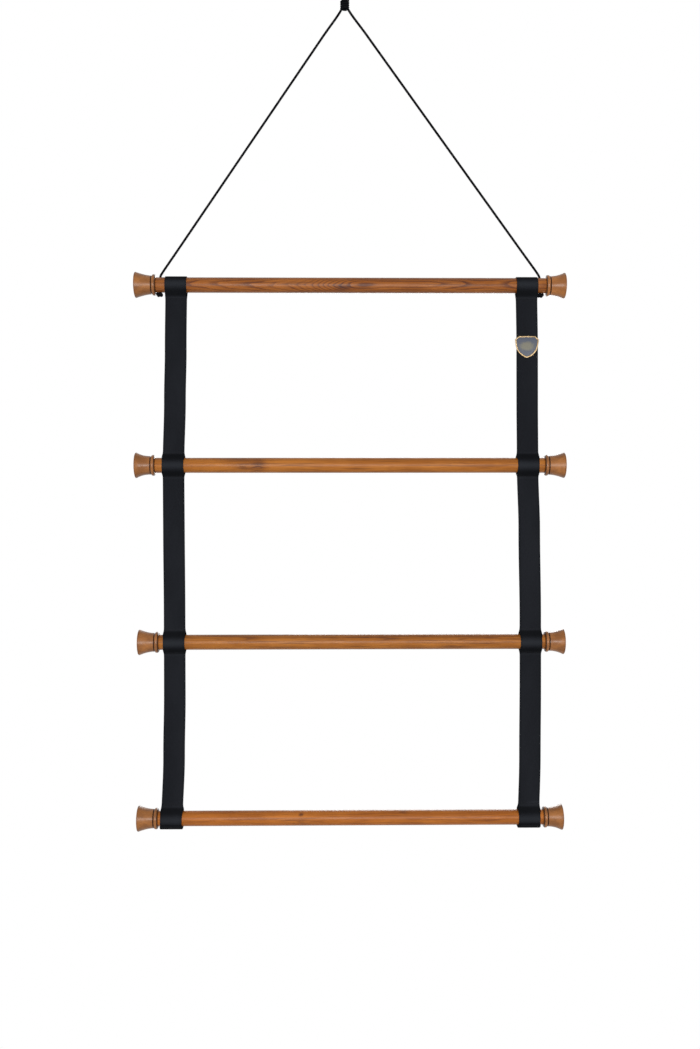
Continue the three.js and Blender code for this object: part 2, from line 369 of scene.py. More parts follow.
def setCamera():
    data = bpy.data.cameras.new("camera")
    data.lens = shot["lens"]
    data.sensor_width = 36
    data.clip_end = 50
    camera = addObject("camera", data)
    turn = Matrix.Rotation(-math.radians(shot["aside"]), 4, "Z")
    tip = Matrix.Rotation(math.radians(90 - shot["down"]), 4, "X")
    roll = Matrix.Rotation(-math.radians(shot["roll"]), 4, "Z")
    camera.matrix_world = Matrix.Translation(shot["place"]) @ turn @ tip @ roll
    bpy.context.scene.camera = camera


setCamera()
print("camera set")

cord = {
    "radius": 0.0022,
    "facets": 16,
    "step": 0.002,
    "braid": 0.0017,  # length of one braid cell
    # painted shade for the braid's hollows
    "hollow": (6, 6, 8),
    "colour": (15, 15, 18),
    "glint": (22, 22, 26),
}
leftLeg = [
    (-0.3435, -0.590), (-0.3435, -0.583), (-0.3435, -0.576), (-0.3435, -0.569), (-0.3433, -0.563),
    (-0.3422, -0.5585), (-0.3396, -0.554), (-0.310, -0.5106), (-0.260, -0.4372), (-0.200, -0.3492),
    (-0.140, -0.2612), (-0.080, -0.1732), (-0.040, -0.1145), (-0.006, -0.0648),
]
rightLeg = [
    (0.3635, -0.590), (0.3635, -0.583), (0.3635, -0.576), (0.3635, -0.569), (0.3633, -0.563),
    (0.3622, -0.5585), (0.3596, -0.554), (0.330, -0.513), (0.270, -0.4299), (0.200, -0.333),
    (0.140, -0.2499), (0.080, -0.1668), (0.040, -0.1114), (0.0062, -0.0646),
]
halfLoop = [
    (-0.003, -0.0449), (-0.004, -0.038), (-0.007, -0.028), (-0.0096, -0.018), (-0.010, -0.008),
    (-0.00707, -0.00093),
]
hangingLoop = [*halfLoop, (0, 0.002), *[(-x, z) for x, z in halfLoop[::-1]]]


def cordFinish():
    made = Finish("cord_braid")
    across, along, _ = made.parts(made.node("ShaderNodeUVMap", {"uv_map": "UVMap"}))
    turn = across * (8 / cord["radius"] / 2)
    run = along * (math.pi / cord["braid"])
    strands = (turn + run).sine().size().largest((turn - run).sine().size())
    fuzz = made.grain(made.place(), 900, 2)
    height = strands * 0.8 + fuzz * 0.3
    # painted shade in the braid's hollows between the strands
    colour = strands.ease(0.35, 1.0).tint(cord["hollow"], cord["colour"])
    colour = fuzz.ease(0.58, 0.8).tint(colour, cord["glint"])
    return made.finish(colour, fuzz.ease(0.2, 0.8, 0.62, 0.85), made.bump(height, 0.7, 0.0004),
                       Specular_IOR_Level=0.04)


def makeCord():
    finish = cordFinish()
    route = leftLeg + [(-0.0036, -0.056)] + hangingLoop + [(0.0036, -0.056)] + rightLeg[::-1]
    line = smoothLine([Vector((x, 0, z)) for x, z in route], cord["step"])
    piece = tube("hanging_cord", line, cord["radius"], cord["facets"])
    dress(piece, finish, "root", ("cord_left", "cord_right", "cord_loop"))
    knots = [stopperKnot(side, sign, finish) for side, sign in sides.items()] + [loopKnot(finish)]
    length = distances(line)[-1]
    line[::3] + [line[-1]]
    return length


stopper = {
    "size": 0.00155,
    "rise": 0.0017,
    "from": 0.35,  # where on the trefoil the knot starts
    "to": 5.6,
    "radius": 0.0024,
    "below": 0.0180,
    "out": 0.0012,
    "turn": 0.9,  # round the cord, in radians
    "tail": [(0.0004, -0.0008, -0.0016), (0.0006, -0.0006, -0.0030)],  # from the knot's last point
}
knotTube = {"facets": 14, "taper": 2}


def overhandLine():  # an open trefoil, the way an overhand knot lies
    line = []
    for t in steps(stopper["from"], stopper["to"], 40):
        across = (math.sin(t) + 2 * math.sin(2 * t)) * stopper["size"]
        deep = (math.cos(t) - 2 * math.cos(2 * t)) * stopper["size"]
        line.append(Vector((across, deep, -math.sin(3 * t) * stopper["rise"])))
    return line


def stopperKnot(side, sign, finish):
    turn = Matrix.Rotation(stopper["turn"], 3, "Z")
    knot = [turn @ point for point in overhandLine()]
    lead = [Vector((-stopper["out"], 0, 0.006)), Vector((-stopper["out"] * 0.8, 0, 0.004))]
    tail = [knot[-1] + Vector(step) for step in stopper["tail"]]
    out = rack["holeOut"] + stopper["out"]
    centre = Vector((rack["middle"] + sign * out, 0, rack["axes"][0] - stopper["below"]))
    line = [centre + Vector((sign * point.x, point.y, point.z)) for point in lead + knot + tail]
    piece = tube(f"stopper_knot_{side}", smoothLine(line, 0.0007), stopper["radius"], **knotTube)
    return dress(piece, finish, "root", (f"knot_{side}",))


wraps = {
    "turns": 4.6,
    "wide": 0.0068,
    "deep": 0.0039,
    "low": -0.0655,
    "high": -0.0468,
    "radius": 0.0019,
    "core": 0.45,  # how wide the tucked ends lie, as a share
}


def loopKnot(finish):  # the loop's neck, seized with its own wraps
    line = []
    count = round(wraps["turns"] * 24)
    for k in range(count + 1):
        turn = 2 * math.pi * wraps["turns"] * k / count
        tuck = min(1, k / 10, (count - k) / 10)  # both ends run in under the wraps
        size = wraps["core"] + (1 - wraps["core"]) * tuck
        across = wraps["wide"] * size * math.cos(turn)
        deep = wraps["deep"] * size * math.sin(turn)
        line.append(Vector((across, deep, wraps["low"] + (wraps["high"] - wraps["low"]) * k / count)))
    piece = tube("loop_knot_wraps", evenLine(line, 0.001), wraps["radius"], **knotTube)
    return dress(piece, finish, "root", ("loop_knot",))


cordLength = makeCord()
print(f"cord laid, {cordLength:.3f} m knot to knot")

wood = {
    "light": (180, 110, 46),
    "warm": (158, 92, 33),
    "late": (106, 57, 28),
    "streak": (88, 48, 26),
    "knot": (74, 42, 32),
    "pore": (66, 34, 18),
}
rungLooks = {  # heart's place back and up, a year's growth, slope and strength of rings, tone
    1: {"heart": (0.040, 0.002), "year": 0.0026, "waver": 0.0010, "slope": 0.050, "rings": 0.85,
        "tone": (0.77, 0.74, 0.79)},
    2: {"heart": (0.080, 0.040), "year": 0.0016, "waver": 0.0022, "slope": 0.006, "rings": 0.40,
        "tone": (0.97, 1.00, 0.90)},
    3: {"heart": (0.060, -0.045), "year": 0.0016, "waver": 0.0022, "slope": -0.009, "rings": 0.45,
        "tone": (0.94, 0.99, 0.92)},
    4: {"heart": (0.090, 0.020), "year": 0.0016, "waver": 0.0022, "slope": 0.007, "rings": 0.40,
        "tone": (1.02, 0.96, 0.80)},
}
knots = {  # twigs in the wood: place along and up, length, height, how far the rings bend, how dark
    1: [(0.004, -0.002, 0.070, 0.030, 0.0150, 0.0), (0.120, -0.002, 0.090, 0.030, 0.0120, 0.0),
        (-0.012, -0.006, 0.012, 0.005, 0.0006, 2.0), (0.030, -0.006, 0.022, 0.006, 0.0008, 0.30),
        (0.205, 0.000, 0.030, 0.010, 0.0015, 0.20)],
    2: [(-0.200, -0.003, 0.011, 0.007, 0.0006, 0.6), (-0.1735, 0.000, 0.0115, 0.010, 0.0010, 1.3),
        (-0.208, 0.010, 0.026, 0.004, 0.0010, 0.7)],
    3: [(0.190, -0.009, 0.024, 0.003, 0.0020, 0.9), (-0.135, -0.010, 0.024, 0.003, 0.0010, 0.7),
        (0.000, 0.011, 0.330, 0.005, 0.0, 0.5)],
    4: [(-0.0935, 0.009, 0.0035, 0.0024, 0.0020, 2.40), (-0.088, -0.006, 0.014, 0.005, 0.0010, 0.45),
        (0.099, 0.013, 0.007, 0.003, 0.0010, 0.80), (0.099, -0.013, 0.007, 0.003, 0.0010, 0.80)],
}


def rungFinish(number):
    look = rungLooks[number]
    made = Finish(f"rung_wood_{number}")
    spot = made.place((-rack["middle"], 0, -rack["axes"][number - 1]))
    x, y, z = made.parts(spot)
    sway = made.grain(spot, (4.0, 22.0, 22.0), 3) - 0.5
    fine = made.grain(spot, (13.0, 260.0, 260.0), 3) - 0.5
    cloud = made.grain(spot, (11.0, 50.0, 50.0), 3)
    fibres = made.grain(spot, (11.0, 620.0, 620.0), 4, 0.62)
    pores = made.grain(spot, (60.0, 2600.0, 2600.0), 2)
    back = y - look["heart"][0]
    up = z - look["heart"][1]
    reach = (back * back + up * up).root() + x * look["slope"] + sway * 0.011 + fine * look["waver"]
    stains = []
    for along, high, length, height, bend, dark in knots[number]:
        right = (x - along + sway * 0.02) / length
        over = (z - high) / height
        near = ((right * right + over * over) * -1.0).exponent() * (1 - y.ease(-0.004, 0.004))
        reach = reach + near * bend
        stains.append(near * dark)
    stainAndShade = sum(stains)
    year = (reach / look["year"]).fraction()
    late = year.band(0.3, 0.9, 0.9, 1.0) * cloud.ease(0.3, 0.6, 0.35, 1.0)
    colour = cloud.ease(0.36, 0.66).tint(wood["light"], wood["warm"])
    drawn = (late * (stainAndShade.largest(0) * 0.8 + look["rings"])).ease(0, 1)
    colour = drawn.tint(colour, wood["late"])
    colour = (fibres.ease(0.48, 0.72) * 0.62).tint(colour, wood["streak"])
    stainAndShade = stainAndShade * fibres.ease(0.25, 0.7, 0.35, 0.85)
    colour = (1 - (stainAndShade * -1.0).exponent()).tint(colour, wood["knot"])
    colour = (pores.ease(0.6, 0.7) * 0.4).tint(colour, wood["pore"])
    colour = made.stretch(colour, look["tone"])
    rough = fibres.ease(0.3, 0.7, 0.33, 0.43)
    height = fibres * 0.5 + pores.ease(0.6, 0.75) * -0.6 + late * 0.1
    return made.finish(colour, rough, made.bump(height, 0.12, 0.0003), Specular_IOR_Level=0.23)


rung = {
    "sides": 72,
    "shy": 0.0003,  # left open before each finial
    "spigotRadius": 0.008,
    "spigotLength": 0.02,
    "edge": 0.0006,
    "holeRadius": 0.0026,
    "drillLength": 0.04,
}


def makeRung(number):
    z = rack["axes"][number - 1]
    ends = [sign * (turnings[(number, side)][0] - rung["shy"]) for side, sign in sides.items()]
    middle = (rack["middle"] + sum(ends) / 2, 0, z)
    length = ends[1] - ends[0]
    piece = rod(f"rung_{number}_dowel", rung["sides"], rack["rungRadius"], length, middle, alongX)
    pick(piece, "EDGE", lambda edge: abs(edge.verts[0].co.x - edge.verts[1].co.x) < 1e-6)
    bpy.ops.mesh.bevel(offset=rung["edge"], segments=2)
    for sign in sides.values():
        pick(piece, "FACE", lambda face: face.normal.x * sign > 0.99 and len(face.verts) > 8)
        bpy.ops.mesh.inset(thickness=rack["rungRadius"] - rung["edge"] - rung["spigotRadius"])
        pull(x=sign * rung["spigotLength"])
    if number == 1:
        for sign in sides.values():  # the cord's holes
            hole = (rack["middle"] + sign * rack["holeOut"], 0, z)
            cutOut(piece, rod("drill", 24, rung["holeRadius"], rung["drillLength"], hole))
    closeUp(piece)
    body = "root" if number == 1 else f"rung_{number}_body"
    return dress(piece, rungFinish(number), body, (f"rung_{number}",))


finial = {
    "sides": 96,
    "socketRadius": 0.0083,
    "socketDepth": 0.0203,
    "faceRadius": 0.015,
    "beadCentre": 0.004,
    "beadHalf": 0.0035,
    "beadFoot": 0.0162,
    "beadRadius": 0.0195,
    "beadRound": 0.85,  # below 1 is fuller than a half circle
    "neck": 0.0079,
    "nick": 0.0002,
    "footStep": 0.0005,
    "flareStart": 0.0088,
    "rimWide": 0.0017,
    "rimRadius": 0.0237,
    "rimGroove": 0.0004,
    "rimCut": (0.0001, 0.0004),  # where that groove starts and ends
    "lip": 0.0005,
    "rimRound": 0.0012,
    "faceIn": 0.0022,  # from the rim to the flat of the end face
    "pip": 0.0008,  # the flat left in the middle by the lathe
    "dish": 0.0009,  # how far the end face is hollowed
    "year": 0.0026,
    # bands of painted shade in the grooves beside the bead and at the rim's groove, and a painted
    # highlight with some wear on the rim's edge; the first two measured from the inner face and the rest
    # from the end
    "darkBands": [(0.0, 0.0006, 0.0014, 0.0023), (0.0062, 0.0072, 0.0088, 0.0098)],
    "rimGrooveShade": (0.0011, 0.0015, 0.0016, 0.0024),
    "edge": (0.0008, 0.0014),
    "light": (160, 103, 53),
    "dark": (132, 82, 39),
    "late": (118, 74, 40),
    "fibre": (100, 62, 34),
    # painted shade for the grooves, and a painted highlight with some wear for the rim's rounded edge
    "groove": (52, 28, 13),
    "rimLitAndWorn": (176, 112, 62),
}
turnings = {  # hand turned: inner face, end, foot's radius, how late it opens, how light its wood is
    (1, "left"): (0.3608, 0.3997, 0.0172, 1.6, 1.0),
    (1, "right"): (0.3640, 0.4000, 0.0176, 2.1, 1.22),
    (2, "left"): (0.3630, 0.4000, 0.0172, 2.3, 1.0),
    (2, "right"): (0.3620, 0.4001, 0.0176, 1.8, 1.0),
    (3, "left"): (0.3570, 0.3950, 0.0173, 1.8, 1.0),
    (3, "right"): (0.3628, 0.3990, 0.0174, 2.0, 1.0),
    (4, "left"): (0.3593, 0.3974, 0.0176, 1.8, 1.0),
    (4, "right"): (0.3604, 0.3964, 0.0174, 2.0, 1.0),
}


def finialStations(length, foot, opening):  # (place from the inner face, radius), socket first
    socket = finial["socketRadius"]
    made = [(finial["socketDepth"], socket), (0, socket), (0, finial["faceRadius"])]
    for angle in steps(0, math.pi, 12):
        place = finial["beadCentre"] - finial["beadHalf"] * math.cos(angle)
        swell = (finial["beadRadius"] - finial["beadFoot"]) * math.sin(angle) ** finial["beadRound"]
        made.append((place, finial["beadFoot"] + swell))
    made.append((finial["neck"], finial["beadFoot"] - finial["nick"]))
    made.append((finial["flareStart"] - finial["nick"], foot - finial["footStep"]))
    rimStart = length - finial["rimWide"]
    for part in steps(0, 1, 16):
        spread = (finial["rimRadius"] - foot) * part ** opening
        made.append((finial["flareStart"] + (rimStart - finial["flareStart"]) * part, foot + spread))
    for cut in finial["rimCut"]:
        made.append((rimStart + cut, finial["rimRadius"] - finial["rimGroove"]))
    lip = rimStart + finial["lip"]
    for angle in steps(0, math.pi / 2, 7):
        drop = finial["rimRound"] * (1 - math.cos(angle))
        made.append((lip + (length - lip) * math.sin(angle), finial["rimRadius"] - drop))
    face = finial["rimRadius"] - finial["faceIn"]
    for part in steps(0, 1, 7):
        drop = finial["dish"] * math.sin(math.pi / 2 * min(1, part * 1.6 + 0.1))
        made.append((length - drop, face * (1 - part) + finial["pip"] * part))
    return made


def makeFinial(number, side, material):
    inner, outer, foot, opening, tone = turnings[(number, side)]
    stations = finialStations(outer - inner, foot, opening)
    sign = sides[side]
    face = rack["middle"] + sign * inner
    z = rack["axes"][number - 1]
    leaveAlone()
    depth, radius = stations[0]
    bpy.ops.mesh.primitive_circle_add(vertices=finial["sides"], radius=radius, fill_type="NGON",
                                      location=(face + sign * depth, 0, z), rotation=alongX)
    piece = startPiece(f"rung_{number}_finial_{side}")
    bpy.ops.object.mode_set(mode="EDIT")
    bpy.ops.mesh.select_mode(type="EDGE")
    bpy.ops.mesh.select_all(action="SELECT")
    for place, nextRadius in stations[1:]:
        pull(x=sign * (place - depth))
        size = nextRadius / radius
        bpy.ops.transform.resize(value=(1, size, size), center_override=(face + sign * place, 0, z))
        depth, radius = place, nextRadius
    closeUp(piece, 28)
    depths = [abs(vert.co.x - face) for vert in piece.data.vertices]
    addLayer(piece, "depth", depths)
    addLayer(piece, "rim", [outer - inner - depth for depth in depths])
    addLayer(piece, "tone", [tone] * len(depths))
    body = "root" if number == 1 else f"rung_{number}_body"
    return dress(piece, material, body, (f"finial_{number}_{side}",))


def finialFinish():
    made = Finish("finial_wood")
    spot = made.place((-rack["middle"], 0, 0))
    x, y, z = made.parts(spot)
    sway = made.grain(spot, (14.0, 40.0, 40.0), 3) - 0.5
    reach = y + z * 0.45 + sway * 0.009
    late = (reach / finial["year"]).fraction().band(0.2, 0.9, 0.9, 1.0)
    fibres = made.grain(spot, (26.0, 560.0, 560.0), 4, 0.6)
    blotch = made.grain(spot, (45.0, 70.0, 70.0), 2)
    colour = blotch.ease(0.34, 0.68).tint(finial["dark"], finial["light"])
    colour = (late * 0.22).tint(colour, finial["late"])
    colour = (fibres.ease(0.5, 0.76) * 0.3).tint(colour, finial["fibre"])
    depth = made.layer("depth")
    rim = made.layer("rim")
    # painted shade in the grooves beside the bead and at the rim's groove; painted highlight, with some
    # wear, on the rim's edge
    beside, between = [depth.band(*band) for band in finial["darkBands"]]
    stainAndShade = beside.largest(between).largest(rim.band(*finial["rimGrooveShade"]) * 0.6)
    colour = (stainAndShade * 0.92).tint(colour, finial["groove"])
    colour = ((1 - rim.ease(*finial["edge"])) * 0.35).tint(colour, finial["rimLitAndWorn"])
    colour = made.stretch(colour, made.layer("tone"))
    rough = blotch.ease(0.3, 0.7, 0.3, 0.38)
    height = fibres * 0.6 + blotch * 0.4
    return made.finish(colour, rough, made.bump(height, 0.15, 0.0003), Specular_IOR_Level=0.34)


def makeWood():
    material = finialFinish()
    for number in range(1, 5):
        makeRung(number)
        for side in sides:
            makeFinial(number, side, material)


makeWood()
print("rungs and finials turned")

web = {
    "half": 0.0200,  # half the width between the rungs
    "thick": 0.0018,
    "gap": 0.0003,
    "ring": 0.0153,  # a sleeve's middle line round its rung
    "slack": 0.0016,  # how far the lowest sleeves hang off their rung
    "step": 0.002,
    "fill": 0.006,  # between the points of a straight run, before it is bowed
    "bowEnd": 0.03,  # a bow starts and ends this far from the rungs' axes
    "flare": 0.0010,  # each edge's spread beside a rung
    "flareAt": 0.0150,  # this and the next three: from a rung's axis, and how wide
    "flareWide": 0.0050,
    "seamAt": 0.024,
    "seamWide": 0.005,
    "plain": 0.1,  # no flare from this far under the top rung upwards
    "press": 0.22,  # share of its thickness that a seam takes
    "pucker": 0.0004,
    "rounding": 6,  # passes that take the sharpness out of the bends
    "foldOver": 0.0215,  # the bend at a rung runs from this far over its axis
    "foldUnder": 0.018,
    "lapGap": 0.0002,
    "lapReach": 62,  # degrees to each side of the lowest point
    "colour": (34, 36, 41),
    # painted shade for the weave's valleys
    "valley": (18, 19, 22),
    "lint": (52, 54, 59),
    "wave": (38, 40, 45),
    "edge": (14, 15, 17),
    # painted shade for the folds beside a rung, and painted highlight for its front
    "shadow": (7, 8, 9),
    "paintedHighlight": (50, 53, 58),
}
webShading = {  # painted shade on the fold and painted highlight on the bands beside a rung, by distance from its axis
    "foldFrom": 0.0092,
    "foldSoft": 0.0011,
    "foldTo": 0.0205,
    "foldSharp": 0.0005,
    "highlightWide": 0.006,
    "ridgeAt": 0.0232,
    "ridgeWide": 0.0010,
    "ridge": 0.6,
}
tug = {  # a pucker over the lowest rung, on one side of the strap, raised and given a painted highlight
    "side": "right",
    "z": -1.5430,
    "tilt": 0.0009,
    "wide": 0.0016,
    "rise": 0.0005,
    "fade": 6,
}
seams = {  # each sewn band's middle, from its rung's axis
    "under1": 0.026,
    "over": 0.0235,
    "under": 0.020,
    "over4": 0.0263,
}
flat = (web["thick"] + web["gap"]) / 2  # from the strap's middle to each layer's own
split = rack["axes"][1] - seams["under"]  # the two lengths of webbing meet in this sewn band
strapHeights = [-0.56, -0.697, -0.79, -0.911, -1.033, -1.2, -1.343, -1.454, -1.59]
strapLines = {  # each strap's middle at those heights, as it hangs
    "left": [-0.3135, -0.3150, -0.3167, -0.3196, -0.3194, -0.3184, -0.3184, -0.3201, -0.3247],
    "right": [0.3385, 0.3403, 0.3405, 0.3413, 0.3446, 0.3468, 0.3471, 0.3466, 0.3436],
}
section = [  # one face of the webbing, edge to edge: shares of the half width and the half thickness
    (-1.0, 0.0), (-0.99, 0.55), (-0.965, 0.9), (-0.93, 1.05), (-0.895, 1.0), (-0.87, 0.8), (-0.84, 1.0),
    (-0.55, 1.0), (-0.25, 1.0), (0, 1.0), (0.25, 1.0), (0.55, 1.0), (0.84, 1.0), (0.87, 0.8),
    (0.895, 1.0), (0.93, 1.05), (0.965, 0.9), (0.99, 0.55),
]


def strapMiddle(side, z):  # the strap's middle at a height, eased between its points
    line = strapLines[side]
    for z1, z2, x1, x2 in zip(strapHeights, strapHeights[1:], line, line[1:]):
        if z >= z2:
            part = min(max((z1 - z) / (z1 - z2), 0), 1)
            part = part * part * (3 - 2 * part)
            return x1 + (x2 - x1) * part
    return line[-1]


def roundRung(axis, over, under):  # one face round a rung, (out, z) from its upper seam to its lower one
    def tangent(seam):
        far = math.hypot(flat, seam)
        return math.atan2(flat, seam) + math.acos(web["ring"] / far)
    first = tangent(over) if over else 0
    last = math.pi - (tangent(under) if under else 0)
    made = [(flat, axis + over)] if over else []
    for angle in steps(first, last, 24):
        drop = web["slack"] * max(0, -math.cos(angle)) if not under and over else 0
        made.append((web["ring"] * math.sin(angle), axis + web["ring"] * math.cos(angle) - drop))
    return made + ([(flat, axis - under)] if under else [])


def relax(line, passes):  # rounds off the corners that stiff webbing can't take
    for _ in range(passes):
        inner = [(a + b * 2 + c) / 4 for a, b, c in zip(line, line[1:], line[2:])]
        line = [line[0], *inner, line[-1]]
    return line


def hump(value, middle, wide):  # 1 at the middle, falling away to both sides
    return math.exp(-(((value - middle) / wide) ** 2))


def softStep(value):  # 0 well below zero, 1 well above it
    return 1 / (1 + math.exp(-value))


def ripple(x, z):  # the small waves that a seam gathers
    return math.sin(x / 0.0042 + z * 90) * math.cos(x / 0.011 + z * 37)


def webbingStrip(name, side, line):  # lays the webbing's section along a line of (y, z)
    rings = []
    shape = section + [(-across, -height) for across, height in section]
    paintedLightValues = []
    for i, point in enumerate(line):
        ahead = heading(line, i)
        out = Vector((0, -ahead.z, ahead.y))
        nearest = min(abs(point.z - z) for z in rack["axes"])
        half = web["half"]
        if point.z < rack["axes"][0] - web["plain"]:
            half += web["flare"] * hump(nearest, web["flareAt"], web["flareWide"])
        seam = hump(nearest, web["seamAt"], web["seamWide"])
        # painted shade on the fold above and below a rung; painted highlight on its front and on the
        # seam's ridge
        dark = softStep((nearest - webShading["foldFrom"]) / webShading["foldSoft"])
        dark *= softStep((webShading["foldTo"] - nearest) / webShading["foldSharp"])
        highlightAmount = hump(nearest, 0, webShading["highlightWide"])
        highlightAmount += webShading["ridge"] * hump(nearest, webShading["ridgeAt"], webShading["ridgeWide"])
        middle = Vector((strapMiddle(side, point.z), point.y, point.z))
        ring = []
        for across, height in shape:
            spread = across * half
            lift = height * web["thick"] / 2 * (1 - web["press"] * seam)
            spot = middle + Vector((spread, 0, 0)) + out * lift
            spot.y += web["pucker"] * seam * ripple(spread, point.z)
            # the pucker on the front is raised, and the same amount gives it a painted highlight
            tugged = 0
            if side == tug["side"] and point.y < 0:
                tugged = hump(point.z, tug["z"] + across * tug["tilt"], tug["wide"])
                tugged *= softStep(across * tug["fade"])
                spot.y -= tug["rise"] * tugged
            ring.append(spot)
            paintedLightValues.append(dark - highlightAmount - tugged)
        rings.append(ring)
    across = [share * web["half"] for share, _ in [*shape, shape[0]]]
    piece = skin(name, rings, across, distances(line))
    addLayer(piece, "painted_light", paintedLightValues)
    return piece


def sagOut(z, top, bottom, amount):  # a slow bow over one span
    part = min(max((top - z) / (top - bottom), 0), 1)
    return amount * math.sin(math.pi * part) ** 2


bows = {  # how far each span's front and back layers stand off their flat lie
    "left": [(-0.0006, 0.0012), (0.0010, 0.0022), (-0.0010, 0.0008)],
    "right": [(0.0, 0.0008), (-0.0012, 0.0006), (0.0008, 0.0020)],
}


def strapFace(side, stretches, back):  # one face as (y, z), top to bottom
    made = []
    for out, z in stretches:
        y = out if back else -out
        for (top, bottom), (frontBow, backBow) in zip(zip(rack["axes"], rack["axes"][1:]), bows[side]):
            bow = backBow if back else frontBow
            y += sagOut(z, top - web["bowEnd"], bottom + web["bowEnd"], bow)
        made.append(Vector((0, y, z)))
    return made


def withFill(points):  # extra points along the straight runs
    made = [points[0]]
    for a, b in zip(points, points[1:]):
        count = max(1, int(math.hypot(b[0] - a[0], b[1] - a[1]) / web["fill"]))
        made += list(zip(steps(a[0], b[0], count), steps(a[1], b[1], count)))[1:]
    return made


def webFinish():
    made = Finish("webbing_weave")
    across, along, _ = made.parts(made.node("ShaderNodeUVMap", {"uv_map": "UVMap"}))
    columns = (across * (math.pi / 0.00125)).sine()
    rows = (along * (math.pi / 0.00105)).sine()
    ribs = columns.size() * 0.55 + (columns * rows) * 0.45
    spot = made.place()
    fuzz = made.grain(spot, 1400, 2)
    wave = made.grain(spot, (14.0, 14.0, 5.0), 3)
    selvedge = across.size().band(0.0166, 0.0172, 0.0174, 0.018)
    # painted shade in the weave's valleys between the ribs
    colour = ribs.ease(0.0, 0.75).tint(web["valley"], web["colour"])
    colour = (wave.ease(0.35, 0.7) * 0.35).tint(colour, web["wave"])
    colour = (selvedge * 0.6).tint(colour, web["edge"])
    colour = (fuzz.ease(0.66, 0.85) * 0.5).tint(colour, web["lint"])
    painted_light = made.layer("painted_light")  # painted shade in the folds; painted highlight on a rung's front, on the seam's ridge and on the pucker
    colour = (painted_light.largest(0) * 0.62).tint(colour, web["shadow"])
    colour = ((painted_light * -1).largest(0) * 0.4).tint(colour, web["paintedHighlight"])
    height = ribs + fuzz * 0.25 - selvedge * 0.8
    return made.finish(colour, fuzz.ease(0.2, 0.8, 0.72, 0.92), made.bump(height, 0.45, 0.0003),
                       Specular_IOR_Level=0.03)


def layWebbing(part, side, line, material, body, nodes):  # returns the piece and its bare surface
    made = webbingStrip(f"strap_{part}_{side}", side, line)
    points = [vert.co for vert in made.data.vertices]
    surface = BVHTree.FromPolygons(points, [face.vertices for face in made.data.polygons])
    return dress(made, material, body, nodes), surface


def lapLine(axis):  # the webbing's end, lapped round under the lowest sleeve
    ring = web["ring"] + web["thick"] + web["lapGap"]
    reach = math.radians(web["lapReach"])
    made = []
    for angle in steps(-reach, reach, 30):
        made.append(Vector((0, ring * math.sin(angle), axis - web["slack"] - ring * math.cos(angle))))
    return made


strapParts = {  # each length's spans and sleeves, and the rung it folds at
    "upper": ((1,), (1, 2), 2),
    "lower": ((2, 3), (3, 4), 3),
}


def makeStraps():
    material = webFinish()
    surfaces = {}
    z1, z2, z3, z4 = rack["axes"]
    upper = roundRung(z1, 0, seams["under1"]) + roundRung(z2, seams["over"], seams["under"])
    lower = [(flat, split)] + roundRung(z3, seams["over"], seams["under"])
    lower += roundRung(z4, seams["over4"], 0)
    for side in sides:
        for part, route in (("upper", upper), ("lower", lower)):
            spans, sleeves, fold = strapParts[part]
            front, back = [strapFace(side, withFill(route), behind) for behind in (False, True)]
            whole = front[::-1] + back[1:] if part == "upper" else front + back[::-1][1:]
            line = relax(evenLine(whole, web["step"]), web["rounding"])
            nodes = [f"web_{n}_{side}_{face}" for n in spans for face in ("front", "back")]
            nodes += [f"sleeve_{n}_{side}" for n in sleeves]
            made, surfaces[(side, part)] = layWebbing(part, side, line, material, None, nodes)
            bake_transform(made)
        nodes = [f"lap_{side}"]
        _, surfaces[(side, "lap")] = layWebbing("lap", side, lapLine(z4), material, "span_3", nodes)
    return surfaces


strapSurfaces = makeStraps()
print("straps laid")

stitch = {
    "length": 0.0026,
    "pitch": 0.0033,
    "radius": 0.00032,
    "rows": (-0.0013, 0.0013),
    "margin": 0.002,  # left free at each edge of the webbing
    "shape": [(-1.0, 0.35), (-0.7, 0.95), (0.0, 1.1), (0.7, 0.95), (1.0, 0.35)],  # place and thickness
    "facets": 6,
    "sink": 0.00008,
    "dark": (16, 16, 18),
    "light": (36, 36, 40),
    "lapTurn": 54,  # degrees round the lowest rung to the rows on each lap's ends
}


def threadFinish():
    made = Finish("sewing_thread")
    twist = made.grain(made.place(), 2200, 2)
    colour = twist.ease(0.4, 0.65).tint(stitch["dark"], stitch["light"])
    return made.finish(colour, 0.6, made.bump(twist, 0.4, 0.0002), Specular_IOR_Level=0.08)


def stitchRow(points, faces, surface, centre, outward):  # one lockstitch row across the webbing
    count = int(2 * (web["half"] - stitch["margin"]) / stitch["pitch"])
    turns = steps(0, 2 * math.pi, stitch["facets"])[:-1]
    for i in range(count):
        start = centre + outward * 0.01
        start.x += (i - (count - 1) / 2) * stitch["pitch"]
        on, out, _, _ = surface.ray_cast(start, -outward)
        along = Vector((1, 0, 0)).cross(out).normalized()
        faces += ringFaces(len(points), len(turns), len(stitch["shape"]))
        for place, size in stitch["shape"]:
            for angle in turns:
                lift = stitch["radius"] * size * math.sin(angle) - stitch["sink"]
                spot = on + along * (stitch["radius"] * size * math.cos(angle)) + out * lift
                spot.x += place * stitch["length"] / 2
                points.append(spot)


